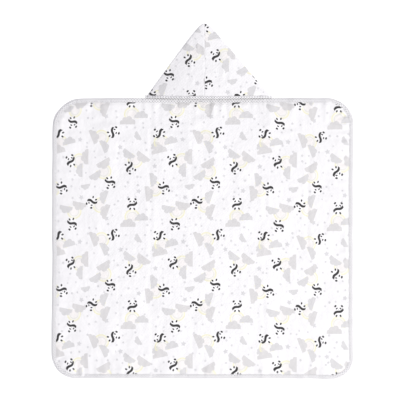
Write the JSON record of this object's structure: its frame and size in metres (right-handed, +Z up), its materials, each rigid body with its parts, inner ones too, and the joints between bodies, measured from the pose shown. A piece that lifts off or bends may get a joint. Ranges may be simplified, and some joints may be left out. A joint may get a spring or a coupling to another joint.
{
  "type": "hooded baby towel",
  "caption": "Nearly square baby towel of printed gauze with taped edges; a pointed hood on its neck edge opens as a pocket for the head and folds flat over the towel.",
  "frame": {"origin": "middle of the towel's outline, body and hood together, on the surface that it lies on", "axes": "+Z up out of the face of the towel, +Y from the foot edge to the tip of the hood, +X across the towel to the right"},
  "size_m": [0.9, 1.061, 0.0252],
  "materials": {
    "printed_gauze": "matt crinkled cotton gauze, white, printed with small grey, black and pale yellow motifs",
    "plain_gauze": "matt crinkled cotton gauze, white",
    "check_tape": "matt cotton bias tape, fine grey and white check set on the diagonal",
    "sewing_thread": "matt white polyester-cotton thread"
  },
  "bodies": {
    "towel": {"body_face_gauze": "printed_gauze", "body_core_gauze": "plain_gauze", "body_back_gauze": "printed_gauze", "body_binding": "check_tape", "body_binding_stitching": "sewing_thread"},
    "hood": {"hood_back_left": "printed_gauze", "hood_back_right": "printed_gauze", "hood_back_lining": "plain_gauze", "hood_front_left": "printed_gauze", "hood_front_right": "printed_gauze", "hood_front_lining_left": "plain_gauze", "hood_front_lining_right": "plain_gauze", "hood_back_seam": "sewing_thread", "hood_crown_seam": "sewing_thread", "hood_side_seams": "printed_gauze", "hood_mouth_binding": "check_tape", "hood_mouth_stitching": "sewing_thread", "hood_neck_tape": "check_tape", "hood_neck_stitching": "sewing_thread", "hood_corner_bartacks": "sewing_thread"}
  },
  "joints": [
    {"name": "hood_fold", "type": "hinge", "parent": "towel", "child": "hood", "pos_m": [0.006, 0.3077, 0.017], "axis": [1, 0, 0], "range_deg": [0, 179]}
  ]
}
